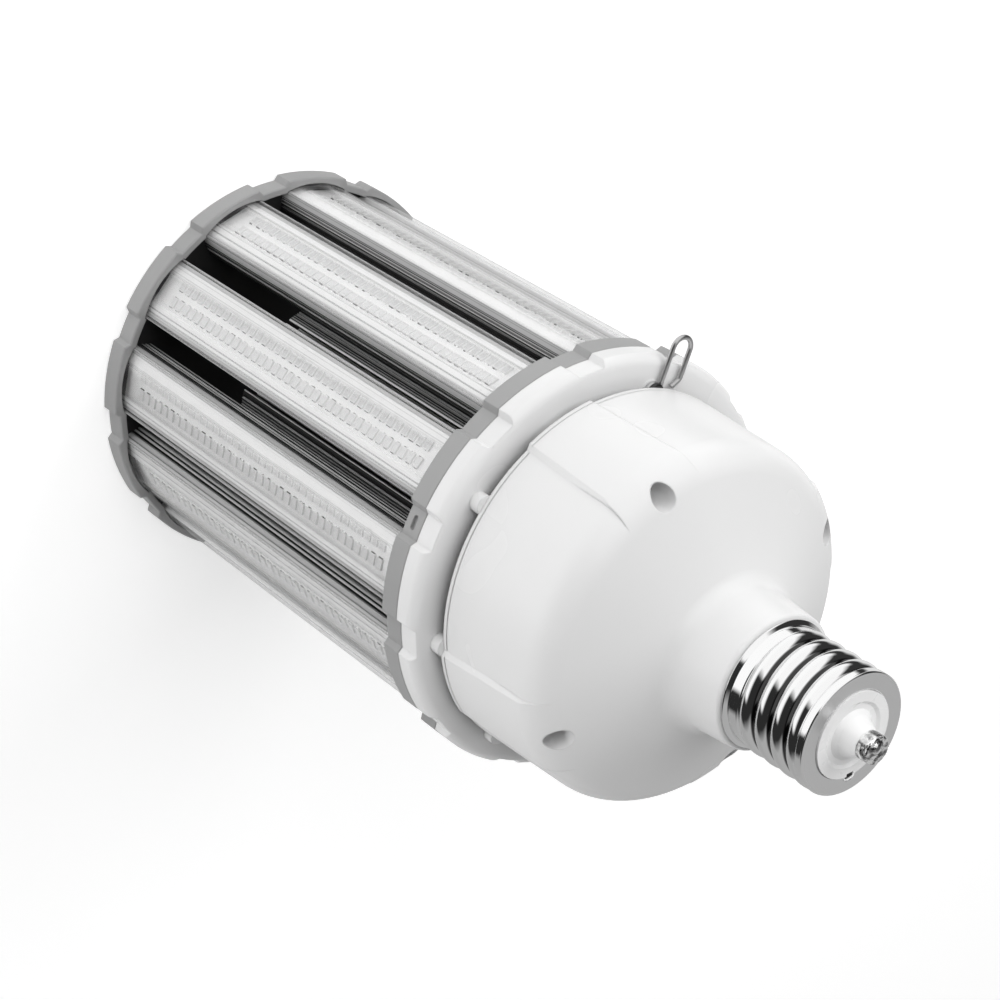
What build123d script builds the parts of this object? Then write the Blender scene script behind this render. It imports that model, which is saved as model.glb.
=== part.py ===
from build123d import *
import math
import os

# LED corn lamp with a mogul screw base, standing on its flat head.
# Millimetres. +Z runs along the axis from the head to the centre contact.
# The origin is on the axis, in the plane of the head's rim.
# The first light bar faces +X, and the others follow every 30 degrees.

# The lamp's size across its lobes, and the length of its light bars
lamp_r = 69.2
bar_length = 162.0
bar_count = 12

# Clearances
fit = 0.1
slide_fit = 0.25
loop_play = 0.1

# Screw base: the 39 mm mogul thread, four turns to the inch, is the known size
thread_major_r = 19.65
thread_depth = 1.55
thread_pitch = 6.35
thread_crest_width = 5.3
thread_start = 4.2
thread_sink = 0.3
sleeve_wall = 0.8
sleeve_bend = 0.8
sleeve_length = 31.6
sleeve_band_step = 1.2
sleeve_band_height = 5.8
sleeve_lip_step = 1.3
sleeve_lip_height = 1.0
sleeve_rim_step = 1.4
sleeve_rim_height = 2.6
sleeve_front_width = 3.4

# Insulator and centre contact
insulator_seat_depth = 4.2
insulator_proud = 0.5
nub_base_r = 8.0
nub_foot_slope = 1.4
nub_foot_height = 0.6
nub_height = 5.2
nub_edge = 0.05
moat_floor = 1.6
moat_slope = 1.0
moat_depth = 0.7
rivet_r = 1.5
contact_r = 4.55
contact_height = 4.4
contact_edge_round = 0.9
contact_solder_share = 0.55
contact_solder_sink = 0.3
solder_angle = 283
solder_notch_width = 2.6
solder_notch_depth = 1.0
solder_r = 1.0
solder_height = 0.8
solder_edge_round = 0.55
solder_inset = 0.3

# Screws
screw_shank_r = 1.7
plate_screw_head_r = 2.4
plate_screw_head_height = 1.8
plate_screw_length = 12.0
housing_screw_head_r = 3.2
housing_screw_head_height = 2.4
board_screw_head_r = 2.8
board_screw_head_height = 1.6
board_screw_shank_r = 1.3
board_screw_length = 6.0
screw_head_round = 0.45

# Light bars: an extrusion, a board and a clip-on cover each
bar_half_width = 11.6
lobe_wall = 2.05
crown_rise = 2.5
cover_wall = 1.1
board_drop = 2.0
board_thickness = 1.2
board_end_margin = 0.4
bar_plate = 3.4
bar_side_wall = 2.3
lip_height = 1.0
lip_wall = 0.9
leg_drop = 3.0
hook_rise = 0.4
hook_height = 0.6
hook_depth = 0.5
rib_count = 4
rib_pitch = 1.5
rib_width = 0.8
rib_depth = 0.7
web_half_width = 1.1
port_drop = 7.3
port_wall = 1.6
outer_fin_drop = 13.2
inner_fin_drop = 18.6
fin_side_gap = 1.7
fin_thickness = 1.5
fin_serrations = 5
fin_serration_pitch = 0.8
fin_serration_depth = 0.45
fin_cut_back = 44.2

# Grey lobed rings that hold the bar ends
lobe_step = 1.8
lobe_cheek = 0.8
lobe_end_slope = 0.5
ring_wall = 2.4
ring_width = 7.6
ring_edge_chamfer = 0.4
head_lip_width = 3.5
head_lip_height = 2.4
head_plate_thickness = 2.0
head_screw_recess = 2.0
latch_count = 4
latch_angle = 165
latch_length = 4.6
latch_height = 1.8
latch_depth = 1.0

# Collar on the base side of the bars
collar_plate = 3.0
collar_deck_height = 7.5
collar_shoulder_r = 3.3
collar_deck_margin = 1.5
collar_wall = 2.2
collar_core_out = 6.3
collar_core_width = 4.6
collar_core_depth = 5.1
collar_post_wall = 1.5
wire_hole_r = 12.0
peg_count = 6
peg_angle = 152
peg_step = 45
peg_out = 5.3
peg_r = 3.15
air_gap = 3.7

# Driver housing
tube_bore_r = 3.7
tube_wall = 2.0
tube_floor = 3.9
tube_rim_margin = 0.5
housing_wall = 2.4
housing_draft = 1.5
housing_side_height = 42.3
housing_shoulder_round = 11.7
cone_height = 16.5
neck_root_round = 6.5
neck_height = 18.2
neck_draft = 1.5
neck_ledge = 1.3
neck_edge_round = 1.2
spigot_wall = 2.4
rim_groove_height = 1.3
rim_groove_size = 0.35
pad_count = 4
pad_angle = 30
pad_raise = 1.25
pad_half_width = 11.8
pad_side_slope = 0.9
pad_inset = 0.05

# Driver board and its parts
driver_post_count = 4
driver_post_r = 3.5
driver_post_height = 6.6
driver_post_inset = 8.0
driver_board_margin = 6.4
driver_board_thickness = 1.6
core_width = 30.0
core_leg = 8.0
core_height = 25.0
winding_r = 12.3
winding_length = 16.0
transformer_x = -15.0
transformer_y = 8.0
capacitor_r = 8.0
capacitor_height = 27.0
capacitor_edge_round = 1.0
capacitor_x = 12.0
capacitor_y = 9.0
capacitor_spacing = 18.0
choke_ring_r = 8.5
choke_wire_r = 3.6
choke_x = -8.0
choke_margin = 2.9

# Safety loop of spring wire, and the screw it turns on
loop_angle = 80
loop_wire_r = 0.8
loop_pivot_out = 4.1
loop_pivot_side = 2.8
loop_width = 7.3
loop_reach = 14.4
loop_far_leg_reach = 4.8
loop_toe_reach = 2.1
loop_toe_step = 2.4
loop_toe_round = 2.2
loop_eye_sweep = 285
loop_screw_shank_r = 1.5
loop_screw_head_r = 3.05
loop_screw_head_height = 1.25
loop_screw_depth = 6.0
loop_seat_height = 0.5

# Radii that follow from the lamp's size, from the lobes inwards
ring_recess_r = lamp_r - lobe_step
ring_inner_r = ring_recess_r - ring_wall
head_bore_r = ring_inner_r - head_lip_width
lobe_half_width = bar_half_width + lobe_cheek
cover_crown_r = lamp_r - lobe_wall - slide_fit
cover_corner_r = cover_crown_r - crown_rise
board_seat_r = cover_corner_r - board_drop
board_half_width = bar_half_width - cover_wall - lip_wall - 2 * fit
leg_foot_r = cover_corner_r - leg_drop
screw_circle_r = leg_foot_r - port_drop
port_bore_r = screw_shank_r + fit
port_outer_r = port_bore_r + port_wall
clearance_hole_r = screw_shank_r + 2 * fit
outer_fin_r = leg_foot_r - outer_fin_drop
inner_fin_r = leg_foot_r - inner_fin_drop
fin_spread = math.tan(math.pi / bar_count)
outer_fin_half_width = (outer_fin_r - fin_thickness) * fin_spread - fin_side_gap
inner_fin_half_width = (inner_fin_r - fin_thickness) * fin_spread - fin_side_gap
collar_core_inner_r = screw_circle_r + collar_core_out
collar_post_r = clearance_hole_r + collar_post_wall
screw_well_r = plate_screw_head_r + slide_fit
peg_circle_r = screw_circle_r + peg_out
tube_r = tube_bore_r + tube_wall
housing_rim_r = screw_circle_r + tube_r + tube_rim_margin
driver_board_r = screw_circle_r - tube_r - driver_board_margin
driver_post_circle_r = driver_board_r - driver_post_inset
choke_y = choke_margin + choke_ring_r + choke_wire_r - driver_board_r
collar_deck_inner_r = driver_board_r + collar_deck_margin
loop_pivot_r = screw_circle_r + loop_pivot_out
thread_root_r = thread_major_r - thread_depth
sleeve_inner_r = thread_root_r - sleeve_wall
sleeve_band_r = thread_root_r + sleeve_band_step
sleeve_lip_r = sleeve_band_r + sleeve_lip_step
sleeve_rim_r = thread_root_r + sleeve_rim_step
sleeve_mouth_r = sleeve_inner_r - sleeve_front_width
spigot_r = sleeve_inner_r - fit
neck_bore_r = spigot_r - spigot_wall
neck_end_r = sleeve_lip_r + neck_ledge
neck_root_r = neck_end_r + neck_draft

# Levels along the axis, from the head to the contact
bar_start_z = head_lip_height + head_plate_thickness
fin_start_z = bar_start_z + fin_cut_back
bar_end_z = bar_start_z + bar_length
collar_plate_top_z = bar_end_z + collar_plate
deck_z = bar_end_z + collar_deck_height
housing_z = deck_z + air_gap
shoulder_z = housing_z + housing_side_height
neck_root_z = shoulder_z + cone_height
neck_end_z = neck_root_z + neck_height
sleeve_top_z = neck_end_z + sleeve_length
sleeve_front_z = sleeve_top_z - sleeve_wall
insulator_back_z = sleeve_front_z - insulator_seat_depth
insulator_face_z = sleeve_top_z + insulator_proud
nub_top_z = insulator_face_z + nub_height
driver_post_top_z = collar_plate_top_z + driver_post_height
driver_board_top_z = driver_post_top_z + driver_board_thickness
loop_seat_z = deck_z + loop_seat_height
loop_z = loop_seat_z + loop_play + loop_wire_r
loop_head_z = loop_z + loop_wire_r + loop_play

# The cover's crown is one arc through its top and its two corners
crown_arc_r = (bar_half_width ** 2 + crown_rise ** 2) / (2 * crown_rise)
crown_centre = cover_crown_r - crown_arc_r


def at(x=0.0, y=0.0, z=0.0, turn=0.0):
    """Place at (x, y, z) after a turn about the lamp's axis."""
    return Rot(0, 0, turn) * Pos(x, y, z)


def mirrored_face(half_points):
    """Face from half an outline whose ends lie on y = 0."""
    other_half = [(x, -y) for x, y in reversed(half_points)]
    other_half = [p for p in other_half if p not in half_points]
    return make_face(Polyline(half_points + other_half, close=True))


def turned(points):
    """Solid turned about the lamp's axis from (radius, height) points."""
    outline = make_face(Polyline(points, close=True))
    return revolve(Plane.XZ * outline, Axis.Z)


def rod(radius, bottom, top, x=0.0, y=0.0, turn=0.0):
    """Upright cylinder between two levels."""
    return at(x, y, bottom, turn) * extrude(Circle(radius), top - bottom)


def crown_outline(grow):
    """The cover's outer outline, grown outwards by a clearance."""
    arc = Pos(crown_centre, 0) * Circle(crown_arc_r + grow)
    half = bar_half_width + grow
    inner = leg_foot_r - leg_drop
    outer = cover_crown_r + grow + cover_wall
    block = Polygon((inner, -half), (outer, -half), (outer, half), (inner, half), align=None)
    return arc & block


def bar_head_section():
    """Board channel with ribbed sides, the part next to the cover."""
    leg_side = bar_half_width - cover_wall - fit
    groove_side = leg_side - hook_depth
    groove_low = leg_foot_r + hook_rise - fit
    groove_high = groove_low + hook_height + 2 * fit
    channel_side = board_half_width + fit
    points = [(board_seat_r, 0), (board_seat_r, channel_side)]
    points += [(board_seat_r + lip_height, channel_side), (board_seat_r + lip_height, leg_side)]
    points += [(groove_high, leg_side), (groove_high, groove_side)]
    points += [(groove_low, groove_side), (groove_low, leg_side), (leg_foot_r, leg_side)]
    for rib in range(rib_count):
        crest = leg_foot_r - rib * rib_pitch
        points += [(crest, bar_half_width), (crest - rib_width, bar_half_width)]
        if rib < rib_count - 1:
            root = bar_half_width - rib_depth
            points += [(crest - rib_width, root), (crest - rib_pitch, root)]
    wall_end = leg_foot_r - (rib_count - 1) * rib_pitch - rib_width
    plate_back = board_seat_r - bar_plate
    inside = bar_half_width - bar_side_wall
    points += [(wall_end, inside), (plate_back, inside), (plate_back, 0)]
    web_top = board_seat_r - bar_plate / 2
    web = Pos((web_top + screw_circle_r) / 2, 0) * Rectangle(web_top - screw_circle_r, 2 * web_half_width)
    port = Pos(screw_circle_r, 0) * Circle(port_outer_r)
    bore = Pos(screw_circle_r, 0) * Circle(port_bore_r)
    return mirrored_face(points) + web + port - bore


def serrated_fin(face_r, half_width):
    """Cross fin whose outer face is serrated towards its tips."""
    back = face_r - fin_thickness
    root = face_r - fin_serration_depth
    points = [(back, 0), (back, half_width), (face_r, half_width)]
    for notch in range(fin_serrations):
        edge = half_width - notch * fin_serration_pitch
        points += [(root, edge - fin_serration_pitch / 2), (face_r, edge - fin_serration_pitch)]
    points += [(face_r, 0)]
    return mirrored_face(points)


def bar_fin_section():
    """Web and cross fins that reach towards the lamp's centre."""
    web_top = screw_circle_r - (port_outer_r + port_bore_r) / 2
    web_low = inner_fin_r - fin_thickness / 2
    web = Pos((web_top + web_low) / 2, 0) * Rectangle(web_top - web_low, 2 * web_half_width)
    outer_fin = serrated_fin(outer_fin_r, outer_fin_half_width)
    inner_fin = serrated_fin(inner_fin_r, inner_fin_half_width)
    return web + outer_fin + inner_fin


def bar():
    """One extruded bar. Its inner fins stop short of the head."""
    head = Pos(0, 0, bar_start_z) * extrude(bar_head_section(), bar_length)
    fins = Pos(0, 0, fin_start_z) * extrude(bar_fin_section(), bar_end_z - fin_start_z)
    return head + fins


def led_board():
    """Bare LED board that lies in the bar's channel."""
    length = bar_length - 2 * board_end_margin
    block = Pos(board_seat_r + board_thickness / 2, 0) * Rectangle(board_thickness, 2 * board_half_width)
    return Pos(0, 0, bar_start_z + board_end_margin) * extrude(block, length)


def cover():
    """Clear cover: an arched strip with two legs that hook into the bar."""
    inner_half = bar_half_width - cover_wall
    arch = crown_outline(0)
    hollow_arc = Pos(crown_centre, 0) * Circle(crown_arc_r - cover_wall)
    far = cover_crown_r + cover_wall
    near = leg_foot_r - leg_drop
    hollow_block = Polygon((near, -inner_half), (far, -inner_half), (far, inner_half), (near, inner_half),
                           align=None)
    wide = 2 * bar_half_width
    above_foot = Polygon((leg_foot_r, -wide), (far, -wide), (far, wide), (leg_foot_r, wide), align=None)
    section = (arch & above_foot) - (hollow_arc & hollow_block)
    hook = Rectangle(hook_height, 2 * hook_depth)
    for side in (-1, 1):
        section += Pos(leg_foot_r + hook_rise + hook_height / 2, side * inner_half) * hook
    return Pos(0, 0, bar_start_z) * extrude(section, bar_length)


def lobed_outline(shrink=0.0):
    """Outline with one lobe over each bar and a recess between them."""
    outline = Circle(ring_recess_r - shrink)
    foot = lobe_half_width - shrink + lobe_end_slope * ring_wall
    top = lobe_half_width - shrink - lobe_end_slope * 2 * lobe_step
    inner = ring_recess_r - ring_wall
    outer = ring_recess_r + 2 * lobe_step
    wedge = Polygon((inner, -foot), (outer, -top), (outer, top), (inner, foot), align=None)
    lobe = Circle(lamp_r - shrink) & wedge
    for place in PolarLocations(0, bar_count):
        outline += place * lobe
    return outline


def lobed_block(bottom):
    """Solid lobed disc with bevelled outer edges, as wide as a ring."""
    outline = lobed_outline()
    straight = ring_width - 2 * ring_edge_chamfer
    block = Pos(0, 0, bottom + ring_edge_chamfer) * extrude(outline, straight)
    top_bevel = extrude(outline, ring_edge_chamfer, taper=45)
    block += Pos(0, 0, bottom + ring_width - ring_edge_chamfer) * top_bevel
    block += Pos(0, 0, bottom + ring_edge_chamfer) * Rot(180, 0, 0) * top_bevel
    return block


def ring_inside():
    """What the rings leave open: a round bore with a pocket for each bar."""
    inside = Circle(ring_inner_r)
    pocket = crown_outline(slide_fit)
    for place in PolarLocations(0, bar_count):
        inside += place * pocket
    return inside


def head_ring():
    """Head ring with an inward lip that carries the head plate."""
    pockets = Pos(0, 0, head_lip_height) * extrude(ring_inside(), ring_width)
    recess = rod(head_bore_r, -ring_width, ring_width)
    return lobed_block(0) - pockets - recess


def head_plate():
    """Stepped end plate: it rests on the ring's lip, and its outer face is the lamp's flat head."""
    plate = rod(head_bore_r - fit, 0, bar_start_z) + rod(ring_inner_r - fit, head_lip_height, bar_start_z)
    for place in PolarLocations(screw_circle_r, bar_count):
        plate -= place * rod(clearance_hole_r, 0, bar_start_z)
        plate -= place * rod(screw_well_r, 0, head_screw_recess)
    return plate


def base_ring():
    """Base-side ring with latch slots in four of its recesses."""
    bottom = bar_end_z - ring_width
    ring = lobed_block(bottom) - Pos(0, 0, bottom) * extrude(ring_inside(), ring_width)
    for latch in range(latch_count):
        angle = latch_angle + latch * 360 / latch_count
        slot = SlotOverall(latch_length, latch_height)
        depth = extrude(Plane.YZ * slot, latch_depth + lobe_step)
        ring -= at(ring_recess_r - latch_depth, 0, bar_end_z - ring_width / 2, angle) * depth
    return ring


def collar():
    """White collar: lobed band, rounded shoulder, deck with screw wells, pegs and posts."""
    shoulder_start = deck_z - collar_shoulder_r
    flat_edge = lamp_r - collar_shoulder_r
    section = make_face([
        Line((wire_hole_r, bar_end_z), (lamp_r, bar_end_z)),
        Line((lamp_r, bar_end_z), (lamp_r, shoulder_start)),
        CenterArc((flat_edge, shoulder_start), collar_shoulder_r, 0, 90),
        Line((flat_edge, deck_z), (collar_deck_inner_r, deck_z)),
        Line((collar_deck_inner_r, deck_z), (collar_deck_inner_r, collar_plate_top_z)),
        Line((collar_deck_inner_r, collar_plate_top_z), (wire_hole_r, collar_plate_top_z)),
        Line((wire_hole_r, collar_plate_top_z), (wire_hole_r, bar_end_z)),
    ])
    body = revolve(Plane.XZ * section, Axis.Z)
    body &= Pos(0, 0, bar_end_z) * extrude(lobed_outline(fit / 2), collar_deck_height)
    outer_core = Circle(collar_core_inner_r + collar_core_width) - Circle(collar_core_inner_r)
    inner_core = Circle(screw_circle_r - screw_well_r - collar_wall)
    inner_core -= Circle(collar_deck_inner_r + collar_wall)
    body -= Pos(0, 0, bar_end_z) * extrude(outer_core, collar_core_depth)
    body -= Pos(0, 0, bar_end_z) * extrude(inner_core, collar_core_depth)
    for peg in range(peg_count):
        turn = peg_angle + peg * peg_step
        body += rod(peg_r, bar_end_z + collar_core_depth, housing_z, peg_circle_r, 0, turn)
    for place in PolarLocations(screw_circle_r, bar_count):
        body -= place * rod(screw_well_r, collar_plate_top_z, deck_z)
    for place in PolarLocations(screw_circle_r, pad_count, pad_angle):
        body += place * rod(collar_post_r, collar_plate_top_z, housing_z)
    for place in PolarLocations(driver_post_circle_r, driver_post_count, pad_angle):
        body += place * rod(driver_post_r, collar_plate_top_z, driver_post_top_z)
        hole_bottom = driver_board_top_z - board_screw_length
        body -= place * rod(board_screw_shank_r + fit, hole_bottom, driver_post_top_z)
    loop_boss = Rot(0, 0, loop_angle) * Pos(loop_pivot_r, loop_pivot_side, 0)
    body += loop_boss * rod(loop_screw_head_r, collar_plate_top_z, loop_seat_z)
    body -= loop_boss * rod(loop_screw_shank_r + fit / 2, loop_seat_z - loop_screw_depth, loop_seat_z)
    for place in PolarLocations(screw_circle_r, bar_count):
        body -= place * rod(clearance_hole_r, bar_end_z, housing_z)
    return body


def housing_form(raise_by, inset, bottom):
    """Solid housing form from its rim to its neck.

    raise_by moves the side wall outwards along the cone, and inset moves the whole outline inwards.
    """
    side_top_r = housing_rim_r - housing_draft
    drop = raise_by * cone_height / (side_top_r - neck_root_r)
    points = [
        (housing_rim_r + raise_by - inset, bottom),
        (side_top_r + raise_by - inset, shoulder_z - drop - inset),
        (neck_root_r - inset, neck_root_z - inset),
        (neck_end_r - inset, neck_end_z - inset),
    ]
    rounds = [housing_shoulder_round + raise_by - inset, neck_root_round + inset]
    wire = FilletPolyline(points, radius=rounds)
    start = wire @ 0
    end = wire @ 1
    closed = [
        wire,
        Line(end, (0, end.Y)),
        Line((0, end.Y), (0, start.Y)),
        Line((0, start.Y), start),
    ]
    return revolve(Plane.XZ * make_face(closed), Axis.Z)


def housing_pad():
    """Sector that keeps one raised panel, with sides that slope outwards to its foot."""
    outer = housing_rim_r + 2 * pad_raise
    top = pad_half_width - pad_side_slope * 2 * pad_raise
    foot = pad_half_width + pad_side_slope * housing_wall
    side_foot = housing_rim_r - housing_wall
    half = [(neck_root_r, 0), (neck_root_r, foot), (side_foot, foot), (outer, top), (outer, 0)]
    return Pos(0, 0, housing_z) * extrude(mirrored_face(half), neck_root_z - housing_z)


def grooved(form, rim_r):
    """Fine groove round a housing form, just above its rim."""
    groove = Circle(rim_r + pad_raise) - Circle(rim_r - rim_groove_size)
    return form - Pos(0, 0, housing_z + rim_groove_height) * extrude(groove, rim_groove_size)


def driver_housing():
    """Moulded cup with raised screw panels, deep screw tubes, neck and spigot."""
    cup = grooved(housing_form(0, 0, housing_z), housing_rim_r)
    raised = grooved(housing_form(pad_raise, pad_inset, housing_z), housing_rim_r + pad_raise)
    for place in PolarLocations(0, pad_count, pad_angle):
        cup += raised & (place * housing_pad())
    neck_edge = [e for e in cup.edges().filter_by(GeomType.CIRCLE)
                 if abs(e.center().Z - neck_end_z) < 0.01]
    cup = fillet(neck_edge, neck_edge_round)
    cup += rod(spigot_r, neck_end_z - housing_wall, insulator_back_z)
    hollow = housing_form(0, housing_wall, housing_z)
    for place in PolarLocations(screw_circle_r, pad_count, pad_angle):
        hollow -= place * rod(tube_r, housing_z, neck_root_z)
    cup -= hollow
    cup -= rod(neck_bore_r, neck_root_z, insulator_back_z)
    for place in PolarLocations(screw_circle_r, pad_count, pad_angle):
        cup -= place * rod(tube_bore_r, housing_z + tube_floor, neck_root_z)
        cup -= place * rod(clearance_hole_r, housing_z, housing_z + tube_floor)
    return cup


def pan_screw(head_r, head_height, shank_r, length):
    """Pan-head screw along +Z, with its head below z = 0 and its shank above."""
    head = Pos(0, 0, -head_height) * extrude(Circle(head_r), head_height)
    rim = head.edges().group_by(Axis.Z)[0]
    head = fillet(rim, head_height * screw_head_round)
    return head + extrude(Circle(shank_r), length)


def plate_screw():
    """The short screw used at both ends of the bars."""
    return pan_screw(plate_screw_head_r, plate_screw_head_height, screw_shank_r, plate_screw_length)


def head_screws():
    """Twelve screws through the head plate into the bars' screw ports."""
    screw = Pos(0, 0, head_screw_recess) * plate_screw()
    return [place * screw for place in PolarLocations(screw_circle_r, bar_count)]


def collar_screws():
    """Screws that hold the collar on the bars between the housing screws."""
    screw = Rot(180, 0, 0) * plate_screw()
    screws = []
    for index in range(bar_count):
        angle = index * 360 / bar_count
        if (angle - pad_angle) % (360 / pad_count) != 0:
            screws.append(at(screw_circle_r, 0, collar_plate_top_z, angle) * screw)
    return screws


def housing_screws():
    """Four long screws at the bottom of the housing's deep holes."""
    length = tube_floor + housing_z - bar_end_z + plate_screw_length
    screw = pan_screw(housing_screw_head_r, housing_screw_head_height, screw_shank_r, length)
    screw = Pos(0, 0, housing_z + tube_floor) * Rot(180, 0, 0) * screw
    return [place * screw for place in PolarLocations(screw_circle_r, pad_count, pad_angle)]


def thread_ridge(bottom, top):
    """Rounded helical ridge of the rolled thread, between two levels."""
    root = thread_root_r - thread_sink
    half = thread_crest_width / 2
    crest = ThreePointArc((root, -half), (thread_major_r, 0), (root, half))
    section = Plane.XZ * make_face([crest, Line((root, half), (root, -half))])
    helix = Helix(pitch=thread_pitch, height=sleeve_length - thread_start, radius=thread_root_r)
    ridge = Pos(0, 0, neck_end_z + thread_start) * sweep(section, path=helix, is_frenet=True)
    return ridge & rod(thread_major_r + thread_depth, bottom, top)


def screw_sleeve():
    """Thin rolled sleeve: lip, smooth band, helical thread and turned-in front rim."""
    band_top = neck_end_z + sleeve_band_height
    rim_low = sleeve_top_z - sleeve_rim_height
    rim_blend = sleeve_rim_r - thread_root_r
    lip_top = neck_end_z + sleeve_lip_height
    sleeve = rod(thread_root_r, neck_end_z, sleeve_top_z)
    sleeve += thread_ridge(band_top - sleeve_bend, rim_low)
    sleeve += turned([
        (0, neck_end_z),
        (sleeve_lip_r, neck_end_z),
        (sleeve_lip_r, lip_top - sleeve_lip_height / 2),
        (sleeve_band_r, lip_top + sleeve_lip_height / 2),
        (sleeve_band_r, band_top - sleeve_bend),
        (thread_root_r, band_top),
        (0, band_top),
    ])
    sleeve += turned([
        (0, rim_low - rim_blend),
        (thread_root_r, rim_low - rim_blend),
        (sleeve_rim_r, rim_low),
        (sleeve_rim_r, sleeve_top_z - sleeve_bend),
        (sleeve_rim_r - sleeve_bend, sleeve_top_z),
        (0, sleeve_top_z),
    ])
    return sleeve - turned([
        (0, neck_end_z),
        (sleeve_inner_r, neck_end_z),
        (sleeve_inner_r, sleeve_front_z),
        (sleeve_mouth_r, sleeve_front_z),
        (sleeve_mouth_r, sleeve_top_z),
        (0, sleeve_top_z),
    ])


def base_insulator():
    """Insulator held behind the sleeve's rim, with a moat and a conical nub."""
    face_r = sleeve_mouth_r - fit
    moat_r = nub_base_r + moat_floor
    body = turned([
        (rivet_r + fit, insulator_back_z),
        (sleeve_inner_r - fit, insulator_back_z),
        (sleeve_inner_r - fit, sleeve_front_z),
        (face_r, sleeve_front_z),
        (face_r, insulator_face_z),
        (moat_r + moat_slope, insulator_face_z),
        (moat_r, insulator_face_z - moat_depth),
        (nub_base_r, insulator_face_z - moat_depth),
        (nub_base_r - nub_foot_slope, insulator_face_z + nub_foot_height),
        (contact_r - nub_edge, nub_top_z),
        (rivet_r + fit, nub_top_z),
    ])
    section = Rectangle(2 * solder_notch_depth, solder_notch_width)
    notch = extrude(section, insulator_face_z - sleeve_front_z)
    return body - at(face_r, 0, sleeve_front_z, solder_angle) * notch


def sleeve_solder():
    """Solder joint on the sleeve's front, over the insulator's notch."""
    blob = extrude(Circle(solder_r), solder_height)
    blob = fillet(blob.edges().group_by(Axis.Z)[-1], solder_edge_round)
    return at(sleeve_mouth_r + solder_inset, 0, sleeve_top_z, solder_angle) * blob


def centre_contact():
    """Contact button with its rivet stem and a low solder dome."""
    button = rod(contact_r, nub_top_z, nub_top_z + contact_height)
    button = fillet(button.edges().group_by(Axis.Z)[-1], contact_edge_round)
    stem = rod(rivet_r, insulator_back_z, nub_top_z)
    solder = Pos(0, 0, nub_top_z + contact_height) * Sphere(contact_r * contact_solder_share)
    solder = Pos(0, 0, -contact_r * contact_solder_sink) * solder
    return button + stem + solder


def driver_board():
    """Round driver board on the collar's posts."""
    board = rod(driver_board_r, driver_post_top_z, driver_board_top_z)
    for place in PolarLocations(driver_post_circle_r, driver_post_count, pad_angle):
        board -= place * rod(board_screw_shank_r + fit, driver_post_top_z, driver_board_top_z)
    return board


def driver_board_screws():
    """Four screws that hold the driver board."""
    screw = Rot(180, 0, 0) * pan_screw(board_screw_head_r, board_screw_head_height,
                                       board_screw_shank_r, board_screw_length)
    screw = Pos(0, 0, driver_board_top_z) * screw
    return [place * screw for place in PolarLocations(driver_post_circle_r, driver_post_count, pad_angle)]


def driver_transformer():
    """Transformer: two core halves round a winding that lies along X."""
    winding = Rot(0, 90, 0) * Cylinder(winding_r, winding_length)
    end = Box(core_leg, core_width, core_height)
    offset = (winding_length + core_leg) / 2
    body = winding + Pos(offset, 0, 0) * end + Pos(-offset, 0, 0) * end
    return Pos(transformer_x, transformer_y, driver_board_top_z + core_height / 2) * body


def driver_capacitors():
    """Two electrolytic cans standing on the driver board."""
    cans = []
    for y in (capacitor_y, capacitor_y - capacitor_spacing):
        can = rod(capacitor_r, driver_board_top_z, driver_board_top_z + capacitor_height, capacitor_x, y)
        cans.append(fillet(can.edges().group_by(Axis.Z)[-1], capacitor_edge_round))
    return cans


def driver_choke():
    """Toroidal choke lying on the driver board."""
    return Pos(choke_x, choke_y, driver_board_top_z + choke_wire_r) * Torus(choke_ring_r, choke_wire_r)


def safety_loop():
    """Wire loop in one plane: an eye round its screw, two legs, a round end and a toe."""
    eye_r = loop_screw_shank_r + loop_play + loop_wire_r
    near_side = loop_pivot_side - eye_r
    far_side = near_side - loop_width
    end_x = loop_pivot_r + loop_reach
    foot_x = loop_pivot_r + loop_far_leg_reach
    toe = (loop_pivot_r + loop_toe_reach, far_side + loop_toe_step)
    eye = CenterArc((loop_pivot_r, loop_pivot_side), eye_r, -90 - loop_eye_sweep, loop_eye_sweep)
    near_leg = Line((loop_pivot_r, near_side), (end_x, near_side))
    end = CenterArc((end_x, near_side - loop_width / 2), loop_width / 2, 90, -180)
    far_leg = FilletPolyline((end_x, far_side), (foot_x, far_side), toe, radius=loop_toe_round)
    path = (Curve() + [eye, near_leg, end, far_leg]).wire()
    wire_section = Plane(origin=path @ 0, z_dir=path % 0) * Circle(loop_wire_r)
    return at(0, 0, loop_z, loop_angle) * sweep(wire_section, path=path)


def loop_screw():
    """Domed screw that the loop turns on."""
    depth = loop_head_z - loop_seat_z + loop_screw_depth - fit
    screw = Rot(180, 0, 0) * pan_screw(loop_screw_head_r, loop_screw_head_height, loop_screw_shank_r, depth)
    return Rot(0, 0, loop_angle) * Pos(loop_pivot_r, loop_pivot_side, loop_head_z) * screw


def write(name, shape):
    """Write one sub-part as a STEP file."""
    if isinstance(shape, list):
        shape = Compound(children=shape)
    shape.label = name
    export_step(shape, os.path.join("parts", name + ".step"))


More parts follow.
